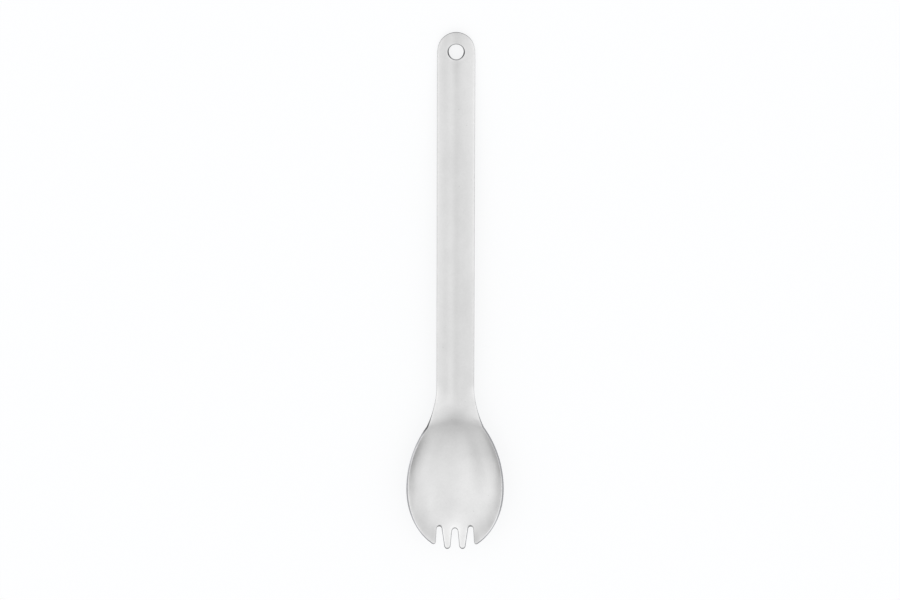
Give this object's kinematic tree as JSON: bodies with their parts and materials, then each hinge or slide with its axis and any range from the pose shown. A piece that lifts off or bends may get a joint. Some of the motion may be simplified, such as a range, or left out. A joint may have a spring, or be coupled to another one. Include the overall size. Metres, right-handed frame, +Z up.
{
  "type": "long-handled spork",
  "caption": "One-piece pressed titanium spork: an oval bowl that ends in short fork tines, a long crowned handle, and a round hang hole in its rounded tail.",
  "frame": {"origin": "middle of the ground that the spork covers, on the table that it lies on", "axes": "+Y along the spork from its tines to the tail of its handle, +Z up out of the bowl, +X across it to the right when the tail points away"},
  "size_m": [0.0398, 0.2148, 0.01],
  "materials": {
    "titanium": "bead-blasted titanium: an even silky grey with a fine grain, and tumbled edges that are a little smoother"
  },
  "bodies": {
    "root": {"pressed_titanium_body": "titanium"}
  },
  "joints": []
}
